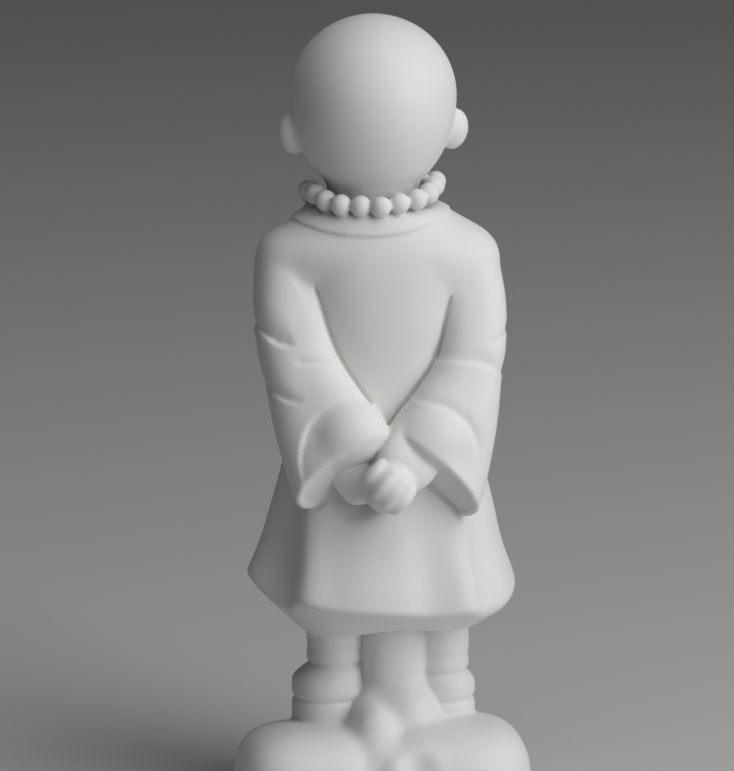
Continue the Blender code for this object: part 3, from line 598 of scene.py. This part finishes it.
def skull(p, margin):
    clay = Clay(p, margin)
    clay.add(tube([(HEAD_X, 0, 92), (HEAD_X, 0, 104)], NECK_RADIUS), 1.0)
    clay.add(HEAD, 1.5)
    for form, blend in FACE_FORMS:
        clay.add(form, blend)
    for side, ear_z in EARS:
        ear_x = HEAD_X + side * EAR_SET * HEAD_RADII[0]
        clay.add(ellipsoid((ear_x, 0.6, ear_z), (2.8, 2.3, 3.8), turn=(0, side * 10, 0)), 0.5)
        clay.carve(ellipsoid((ear_x + side * 0.6, -1.9, ear_z), (1.5, 1.0, 2.4)), 0.4)
    return clay.depth


# Beads: radius, distance between neighbours as a share of it, and the fillets to each other and to the robe
BEAD_RADIUS = 1.96
BEAD_SPACING = 1.9
BEAD_BLEND = 0.12
STRAND_BLEND = 0.7
# The string's left half from the nape to the breast, and how much its left side hangs lower
NECKLACE_TILT = 0.05
NECKLACE = [
    (0, 11.6, 99.2), (8.2, 8.3, 99.8), (11.6, 0, 101.0),
    (10.2, -8.8, 98.2), (5.4, -14.6, 91.6), (0, -16.6, 88.2),
]


def string_line():
    """Points close together round the closed string, from the nape."""
    half = np.array(NECKLACE, float)
    other = half[-2:0:-1] * (-1, 1, 1)
    ring = smooth_line(np.vstack([half, other, half[:1]]), 16)
    ring[:, 2] -= NECKLACE_TILT * ring[:, 0]
    return ring + (HEAD_X, 0, 0)


def spaced(ring, count):
    """That many points evenly round a closed line."""
    lengths = np.concatenate([[0], np.cumsum(np.linalg.norm(np.diff(ring, axis=0), axis=1))])
    at = np.arange(count) * lengths[-1] / count
    return np.column_stack([np.interp(at, lengths, ring[:, i]) for i in range(3)])


def necklace(p, margin):
    ring = string_line()
    length = np.linalg.norm(np.diff(ring, axis=0), axis=1).sum()
    clay = Clay(p, margin)
    for centre in spaced(ring, round(length / (BEAD_SPACING * BEAD_RADIUS))):
        clay.add(ellipsoid(centre, (BEAD_RADIUS,) * 3), BEAD_BLEND)
    return clay.depth


# The robe crosses over in front: the collar's two ends and the edge of the outer flap
LAPELS = [
    [(-10.0, 96.6), (-7.0, 91.4), (-2.6, 85.6), (2.0, 80.6)],
    [(11.6, 96.6), (8.8, 91.2), (3.4, 84.4), (-2.8, 78.2), (-9.6, 72.8)],
]
FLAP = ([(-9.6, 72.8), (-11.4, 62), (-12.4, 45), (-13.2, 27)], 1.0, 0.7, 0.7)
LAPEL_HALF = 2.5
LAPEL_THICK = 1.0


def lapel(path, surface):
    points, normals = laid(path, surface, -1)
    across = np.cross(np.gradient(points, axis=0), normals)
    count = len(points)
    return sleeve(points, [LAPEL_HALF] * count, [LAPEL_THICK] * count, across, 1)


SLEEVED = reach_all(sleeved)
ROUNDED = [set_in(SLEEVED, *each) for each in SWELLINGS]


def draped(p, margin):
    """The robe with its sleeves, their swellings and folds, before its creases are cut."""
    clay = Clay(p, margin)
    clay.depth = sleeved(p, margin)
    for form in ROUNDED:
        clay.add(form, 2.2)
    return folded(p, clay.depth)


DRAPED = reach_all(draped)
CREASES = creases(BACK_CREASES, DRAPED, 1) + creases([FLAP], DRAPED, -1)
BANDS = [lapel(path, DRAPED) for path in LAPELS]
FACE = creases(FACE_CREASES, reach_all(skull), -1)


def figure_distance(p, margin):
    clay = Clay(p, margin)
    clay.depth = draped(p, margin)
    for crease in CREASES:
        clay.carve(crease, CREASE_BLEND)
    clay.depth = collared(p, clay.depth)
    for band in BANDS:
        clay.add(band, 0.3)
    add_legs(clay)
    add_hands(clay)
    head = Clay(p, margin)
    head.depth = skull(p, margin)
    for line in FACE:
        head.carve(line, 0.3)
    clay.depth = merged(clay.depth, head.depth, 0.3)
    return merged(clay.depth, necklace(p, margin), STRAND_BLEND)


# Rock lobes: centre and radii as shares of half the rock's width, half its depth and the standing level, and
# how boxy each is
LOBES = [
    ((0.485, 0.32, 0.30), (0.525, 0.56, 0.75), 3.2),
    ((-0.475, 0.32, 0.37), (0.50, 0.56, 0.72), 3.0),
    ((-0.44, 0.44, 0.50), (0.42, 0.48, 0.48), 2.6),
    ((-0.12, 0.44, 0.52), (0.34, 0.46, 0.50), 2.6),
    ((0.07, 0.21, 1.17), (0.150, 0.16, 0.26), 2.0),
    ((0.08, 0.38, 0.95), (0.155, 0.22, 0.34), 2.0),
    ((0.08, 0.52, 0.70), (0.155, 0.24, 0.40), 2.0),
    ((-0.08, 0.10, 1.75), (0.215, 0.215, 0.75), 2.3),
    ((-0.16, 0.20, 1.10), (0.22, 0.25, 0.42), 2.0),
    ((-0.045, -0.05, 1.70), (0.25, 0.15, 1.00), 2.0),
    ((0.38, -0.40, 0.20), (0.50, 0.56, 0.58), 2.2),
    ((-0.42, -0.42, 0.30), (0.50, 0.54, 0.58), 2.4),
    ((0.02, -0.10, 0.20), (0.80, 0.80, 0.60), 2.0),
    ((0.0, 0.0, 0.35), (0.70, 0.60, 0.66), 2.4),
]
# One lobe at the back left lies on the others with a clear edge
LOW_LOBE = ((0.43, 0.56, 0.42), (0.26, 0.30, 0.50))
HOLLOW = ((-0.15, 1.06, 0.86), (0.14, 0.22, 0.28))
ROCK_BLEND = 0.0025
STANCE_BLEND = 0.0008


def rock_distance(p, margin):
    clay = Clay(p, margin)
    size = np.array([ROCK_WIDTH / 2, ROCK_DEPTH / 2, STANDING_LEVEL])
    for centre, radii, power in LOBES:
        clay.add(ellipsoid(centre * size, radii * size, power=power), ROCK_BLEND)
    clay.add(ellipsoid(LOW_LOBE[0] * size, LOW_LOBE[1] * size), ROCK_BLEND / 4)
    clay.carve(ellipsoid(HOLLOW[0] * size, HOLLOW[1] * size), ROCK_BLEND)
    return clay.depth


def statue_distance(p, margin):
    """Distance in metres from points in metres to the statue's surface."""
    soles = np.array([0, 0, STANDING_LEVEL])
    figure = figure_distance((p - soles) / UNIT, margin / UNIT) * UNIT
    return merged(figure, rock_distance(p, margin), STANCE_BLEND)


def sampled(distance, low, high, step):
    """The distance on a grid: coarse everywhere, fine only near the surface."""
    block, middle = 8, 2
    size = (np.ceil((high - low) / (step * block)).astype(int) + 1) * block
    grid = np.full(size, FAR, np.float32)

    def corners(starts, width, stride):
        along = np.arange(0, width, stride)
        offsets = np.stack(np.meshgrid(along, along, along, indexing="ij"), -1).reshape(-1, 3)
        return (starts[:, None, :] + offsets).reshape(-1, 3)

    def fill(starts, width, values):
        cells = corners(starts, width, 1)
        grid[tuple(cells.T)] = np.repeat(values, width**3)

    def nearby(starts, width, allowance):
        centre = low + (starts + (width - 1) / 2) * step
        reach = allowance * width * step
        values = distance(centre, reach + 2 * step)
        fill(starts, width, values)
        return starts[np.abs(values) < reach]

    blocks = np.stack(np.meshgrid(*[np.arange(0, n, block) for n in size], indexing="ij"), -1)
    starts = nearby(blocks.reshape(-1, 3), block, 1.5)
    starts = nearby(corners(starts, block, middle), middle, 1.8)
    cells = corners(starts, middle, 1)
    grid[tuple(cells.T)] = distance(low + cells * step, 3 * step)
    return grid


def corners_of(inside):
    """The eight corners of every cell, as views of the grid."""
    ends = (slice(None, -1), slice(1, None))
    return [inside[i, j, k] for i in ends for j in ends for k in ends]


def opened(grid):
    """The grid with its pinches filled, so that no two sheets of the surface meet in one cell."""
    rounds = 30
    just_inside = -1e-6
    for _ in range(rounds):
        inside = grid < 0
        filled = np.zeros_like(inside)
        for axis in range(3):
            a = np.moveaxis(inside, axis, 0)
            f = np.moveaxis(filled, axis, 0)
            p, q, r, s = a[:, :-1, :-1], a[:, 1:, :-1], a[:, :-1, 1:], a[:, 1:, 1:]
            pinch = (p == s) & (q == r) & (p != q)
            for view in (f[:, :-1, :-1], f[:, 1:, :-1], f[:, :-1, 1:], f[:, 1:, 1:]):
                view |= pinch
        corner = corners_of(inside)
        count = sum(c.astype(np.uint8) for c in corner)
        for first in range(4):
            here, across = corner[first], corner[7 - first]
            lone = (here == across) & (count == np.where(here, 2, 6))
            for view in corners_of(filled):
                view |= lone
        filled &= ~inside
        if not filled.any():
            break
        grid[filled] = just_inside
    return grid


def net_of(grid, low, step):
    """The zero surface of a grid as points and quads, one point in each cell that it crosses."""
    inside = grid < 0
    count = sum(c.astype(np.uint8) for c in corners_of(inside))
    cells = np.argwhere((count > 0) & (count < 8))
    index = np.full(count.shape, -1)
    index[tuple(cells.T)] = np.arange(len(cells))
    total, hits = np.zeros((len(cells), 3)), np.zeros(len(cells))
    quads = []
    for axis in range(3):
        unit = np.eye(3, dtype=int)[axis]
        side, other = np.eye(3, dtype=int)[(axis + 1) % 3], np.eye(3, dtype=int)[(axis + 2) % 3]
        for a in (0, 1):
            for b in (0, 1):
                start = cells + a * side + b * other
                first, last = grid[tuple(start.T)], grid[tuple((start + unit).T)]
                cross = (first < 0) != (last < 0)
                share = first[cross] / (first[cross] - last[cross])
                total[cross] += start[cross] + share[:, None] * unit
                hits[cross] += 1
        here = np.argwhere(np.diff(inside.astype(np.int8), axis=axis) != 0)
        going_in = ~inside[tuple(here.T)]
        around = [index[tuple((here - s).T)] for s in (0 * side, side, side + other, other)]
        quad = np.column_stack(around)
        quads.append(np.where(going_in[:, None], quad[:, ::-1], quad))
    return low + total / hits[:, None] * step, np.vstack(quads)


def whole(points, quads):
    """The largest connected surface alone."""
    label = np.arange(len(points))
    changed = True
    while changed:
        before = label.copy()
        least = label[quads].min(axis=1)
        for corner in quads.T:
            np.minimum.at(label, corner, least)
        label = label[label]
        changed = (label != before).any()
    kept = label == np.bincount(label).argmax()
    index = np.cumsum(kept) - 1
    return points[kept], index[quads[kept[quads[:, 0]]]]


def settled(points, distance, step, rounds=2):
    """Points moved onto the zero surface along the field's slope."""
    nudge = 0.1 * step
    for _ in range(rounds):
        here = distance(points, 3 * step)
        slope = np.column_stack([
            (distance(points + nudge * axis, 3 * step) - here) / nudge for axis in np.eye(3)
        ])
        pull = here / np.maximum((slope**2).sum(1), 0.25)
        points = points - np.clip(pull, -step / 2, step / 2)[:, None] * slope
    return points


# The grid's half width and depth as a share of the rock's, and the room below and above the statue
GRID_SHARE = 0.56
GRID_ROOM = 3 * GRID_STEP


def statue_mesh():
    """The statue's surface, cut flat at its underside."""
    wide, deep = GRID_SHARE * ROCK_WIDTH, GRID_SHARE * ROCK_DEPTH
    low = np.array([-wide, -deep, -GRID_ROOM])
    high = np.array([wide, deep, STANDING_LEVEL + FIGURE_HEIGHT + GRID_ROOM])

    def distance(p, margin):
        return np.maximum(statue_distance(p, margin), -p[:, 2])

    grid = sampled(distance, low, high, GRID_STEP)
    points, quads = whole(*net_of(opened(grid), low, GRID_STEP))
    points = settled(points, distance, GRID_STEP)
    points[:, 2] = np.maximum(points[:, 2], 0)
    mesh = bpy.data.meshes.new("statue")
    mesh.from_pydata(points.tolist(), [], quads.tolist())
    mesh.validate()
    return mesh


def statue_piece():
    """The statue as one object of at most TRIANGLES faces, smooth shaded."""
    mesh = statue_mesh()
    obj = bpy.data.objects.new("statue", mesh)
    bpy.context.scene.collection.objects.link(obj)
    faces = 2 * len(mesh.polygons)
    if faces > TRIANGLES:
        thin = obj.modifiers.new("thin", "DECIMATE")
        thin.ratio = TRIANGLES / faces
        graph = bpy.context.evaluated_depsgraph_get()
        shape = bmesh.new()
        shape.from_object(obj, graph)
        obj.modifiers.clear()
        shape.to_mesh(mesh)
        shape.free()
    mesh.shade_smooth()
    print("statue", len(mesh.polygons), "polygons")
    return obj


# Unglazed porcelain: the shader's plain values, the two tints that drift over it, and the tint of the painted
# shade in its hollows
PORCELAIN = {
    "Metallic": 0.0,
    "IOR": 1.5,
    "Specular IOR Level": 0.35,
    "Subsurface Weight": 0.25,
    "Subsurface Radius": (1.0, 0.85, 0.7),
    "Subsurface Scale": 0.0012,
}
WARM_WHITE = (0.785, 0.78, 0.77, 1)
CLEAR_WHITE = (0.82, 0.82, 0.815, 1)
PAINTED_SHADE_TINT = (0.93, 0.91, 0.88, 1)
PAINTED_SHADE_REACH = 0.003


def bisque():
    """Unglazed white porcelain: matt, very fine grained, with painted shade that makes it a little warmer and
    darker in the hollows.
    """
    material = bpy.data.materials.new("white_bisque")
    material.use_nodes = True
    nodes, links = material.node_tree.nodes, material.node_tree.links
    shader = nodes["Principled BSDF"]
    for name, value in PORCELAIN.items():
        shader.inputs[name].default_value = value

    where = nodes.new("ShaderNodeTexCoord")

    def noise(scale, detail, roughness=0.5):
        made = nodes.new("ShaderNodeTexNoise")
        made.inputs["Scale"].default_value = scale
        made.inputs["Detail"].default_value = detail
        made.inputs["Roughness"].default_value = roughness
        links.new(where.outputs["Object"], made.inputs["Vector"])
        return made.outputs["Fac"]

    def mapped(source, low, high, to_low, to_high):
        made = nodes.new("ShaderNodeMapRange")
        for name, value in (("From Min", low), ("From Max", high), ("To Min", to_low), ("To Max", to_high)):
            made.inputs[name].default_value = value
        links.new(source, made.inputs["Value"])
        return made.outputs["Result"]

    def bumped(height, strength, distance, under=None):
        made = nodes.new("ShaderNodeBump")
        made.inputs["Strength"].default_value = strength
        made.inputs["Distance"].default_value = distance
        links.new(height, made.inputs["Height"])
        if under:
            links.new(under, made.inputs["Normal"])
        return made.outputs["Normal"]

    tint = nodes.new("ShaderNodeValToRGB")
    for element, place, colour in zip(tint.color_ramp.elements, (0.3, 0.7), (WARM_WHITE, CLEAR_WHITE)):
        element.position = place
        element.color = colour
    links.new(noise(70, 3), tint.inputs["Fac"])

    # Painted shade: ambient occlusion finds the hollows, and a warmer, darker tint is multiplied into the
    # base colour there
    hollow = nodes.new("ShaderNodeAmbientOcclusion")
    hollow.samples = 8
    hollow.inputs["Distance"].default_value = PAINTED_SHADE_REACH
    painted_shade = nodes.new("ShaderNodeMix")
    painted_shade.data_type = "RGBA"
    painted_shade.blend_type = "MULTIPLY"
    painted_shade.inputs["B"].default_value = PAINTED_SHADE_TINT
    links.new(mapped(hollow.outputs["AO"], 0.85, 0.25, 0.0, 1.0), painted_shade.inputs["Factor"])
    links.new(tint.outputs["Color"], painted_shade.inputs["A"])
    links.new(painted_shade.outputs["Result"], shader.inputs["Base Color"])

    links.new(mapped(noise(220, 4), 0.3, 0.7, 0.50, 0.62), shader.inputs["Roughness"])
    grain = bumped(noise(2600, 3, 0.6), 0.12, 0.00012)
    links.new(bumped(noise(160, 2), 0.10, 0.0006, grain), shader.inputs["Normal"])
    return material


# The photograph's view: turned from the figure's back toward its left, and looking down on it
VIEW_TURN = math.radians(7)
VIEW_DOWN = math.radians(12)
VIEW_DISTANCE = 1.2
VIEW_TARGET = np.array([0.0023, 0, 0.0795])
PIXELS_PER_METRE = 5400
IMAGE_HEIGHT = 771
SENSOR = 36.0


def view_axes():
    """The view's right, its up, and the way from its target back to the camera."""
    level = math.cos(VIEW_DOWN)
    back = np.array([math.sin(VIEW_TURN) * level, math.cos(VIEW_TURN) * level, math.sin(VIEW_DOWN)])
    right = np.array([-math.cos(VIEW_TURN), math.sin(VIEW_TURN), 0])
    return right, np.cross(back, right), back


def add_camera():
    camera = bpy.data.objects.new("camera", bpy.data.cameras.new("camera"))
    right, up, back = view_axes()
    place = VIEW_TARGET + VIEW_DISTANCE * back
    rows = np.column_stack([right, up, back, place])
    camera.matrix_world = Matrix([*rows.tolist(), [0, 0, 0, 1]])
    camera.data.sensor_width = SENSOR
    camera.data.lens = PIXELS_PER_METRE * VIEW_DISTANCE / IMAGE_HEIGHT * SENSOR
    camera.data.clip_start = 0.05
    camera.data.clip_end = 20
    bpy.context.scene.collection.objects.link(camera)
    bpy.context.scene.camera = camera


# Soft lights: where each shines from, in shares of the view's right, up and back; its side in metres; its
# power in watts; its tint
LIGHT_DISTANCE = 0.9
COOL = (0.98, 0.99, 1.0)
NEUTRAL = (1.0, 1.0, 1.0)
LIGHTS = {
    "key": ((0.78, 0.85, 0.75), 0.7, 2.9, COOL),
    "side": ((1.0, 0.3, 0.8), 0.7, 2.7, COOL),
    "top": ((0.05, 1.0, 0.45), 0.7, 1.5, NEUTRAL),
    "low": ((0.8, -0.1, 0.8), 0.6, 1.2, NEUTRAL),
}
SKY_COLOUR = (1.0, 0.95, 0.88, 1)
SKY_STRENGTH = 0.04
FLOOR_HALF = 6.0
FLOOR_COLOUR = (0.62, 0.62, 0.61, 1)
FLOOR_ROUGHNESS = 0.8


def add_light(name, toward, size, power, tint):
    """A square soft light aimed at the statue's middle."""
    aim = sum(share * axis for share, axis in zip(toward, view_axes()))
    aim = Vector(aim / np.linalg.norm(aim))
    lamp = bpy.data.lights.new(name, "AREA")
    lamp.shape = "SQUARE"
    lamp.size = size
    lamp.energy = power
    lamp.color = tint
    light = bpy.data.objects.new(name, lamp)
    light.location = Vector(VIEW_TARGET) + LIGHT_DISTANCE * aim
    light.rotation_mode = "QUATERNION"
    light.rotation_quaternion = aim.to_track_quat("Z", "Y")
    bpy.context.scene.collection.objects.link(light)


def add_floor():
    mesh = bpy.data.meshes.new("floor")
    corners = [(x * FLOOR_HALF, y * FLOOR_HALF, 0) for x, y in ((-1, -1), (1, -1), (1, 1), (-1, 1))]
    mesh.from_pydata(corners, [], [(0, 1, 2, 3)])
    material = bpy.data.materials.new("pale_floor")
    material.use_nodes = True
    shader = material.node_tree.nodes["Principled BSDF"]
    shader.inputs["Base Color"].default_value = FLOOR_COLOUR
    shader.inputs["Roughness"].default_value = FLOOR_ROUGHNESS
    mesh.materials.append(material)
    floor = bpy.data.objects.new("floor", mesh)
    bpy.context.scene.collection.objects.link(floor)
    floor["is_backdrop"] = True


def add_studio():
    world = bpy.data.worlds.new("studio")
    world.use_nodes = True
    sky = world.node_tree.nodes["Background"]
    sky.inputs["Color"].default_value = SKY_COLOUR
    sky.inputs["Strength"].default_value = SKY_STRENGTH
    bpy.context.scene.world = world
    bpy.context.scene.view_settings.view_transform = "Standard"
    add_floor()
    for name, settings in LIGHTS.items():
        add_light(name, *settings)


def main():
    statue = statue_piece()
    statue.data.materials.append(bisque())
    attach(statue, "root")
    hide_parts("baby_monk")
    add_studio()
    add_camera()


main()

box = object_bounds()
cad, visual = ([list(map(float, corner)) for corner in corners] for corners in (CAD_BOX, box))
